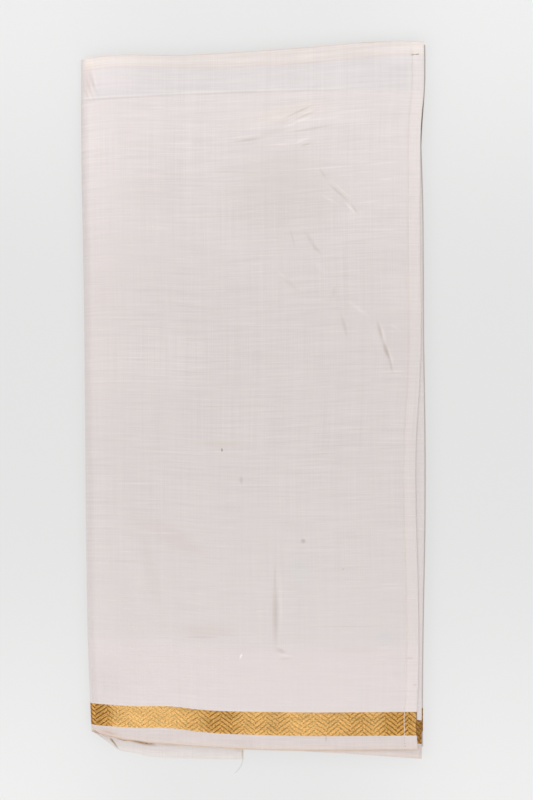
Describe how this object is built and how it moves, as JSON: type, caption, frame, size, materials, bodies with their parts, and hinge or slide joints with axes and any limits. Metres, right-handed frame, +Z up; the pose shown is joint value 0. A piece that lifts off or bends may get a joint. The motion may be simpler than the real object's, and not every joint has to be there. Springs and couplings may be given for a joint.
{
  "type": "folded silk dhoti cloth",
  "caption": "Long raw silk cloth folded into a flat rectangular packet, hemmed end at one side, gold woven chevron border near the foot.",
  "frame": {"origin": "on the table, under the middle of the packet", "axes": "+Y along the packet towards the head fold, +X towards the hemmed end, +Z up from the table"},
  "size_m": [0.314, 0.6559, 0.0086],
  "materials": {
    "silk": "sheer cream raw silk, plain weave with slubs, soft sheen",
    "selvedge": "closer plain weave, tan edge line",
    "zari": "gold metallic thread woven in stacked chevrons"
  },
  "bodies": {
    "root": {"top_panel": "silk", "top_border": "zari", "top_selvedge": "selvedge", "end_hem": "silk", "end_hem_border": "zari", "end_hem_selvedge": "selvedge", "head_fold": "silk", "side_fold": "silk", "side_fold_border": "zari", "side_fold_selvedge": "selvedge", "second_panel": "silk", "second_border": "zari", "second_selvedge": "selvedge", "folded_core": "silk", "under_end_panel": "silk", "under_end_border": "zari", "under_end_selvedge": "selvedge", "under_panel": "silk", "under_border": "zari", "under_selvedge": "selvedge"}
  },
  "joints": []
}
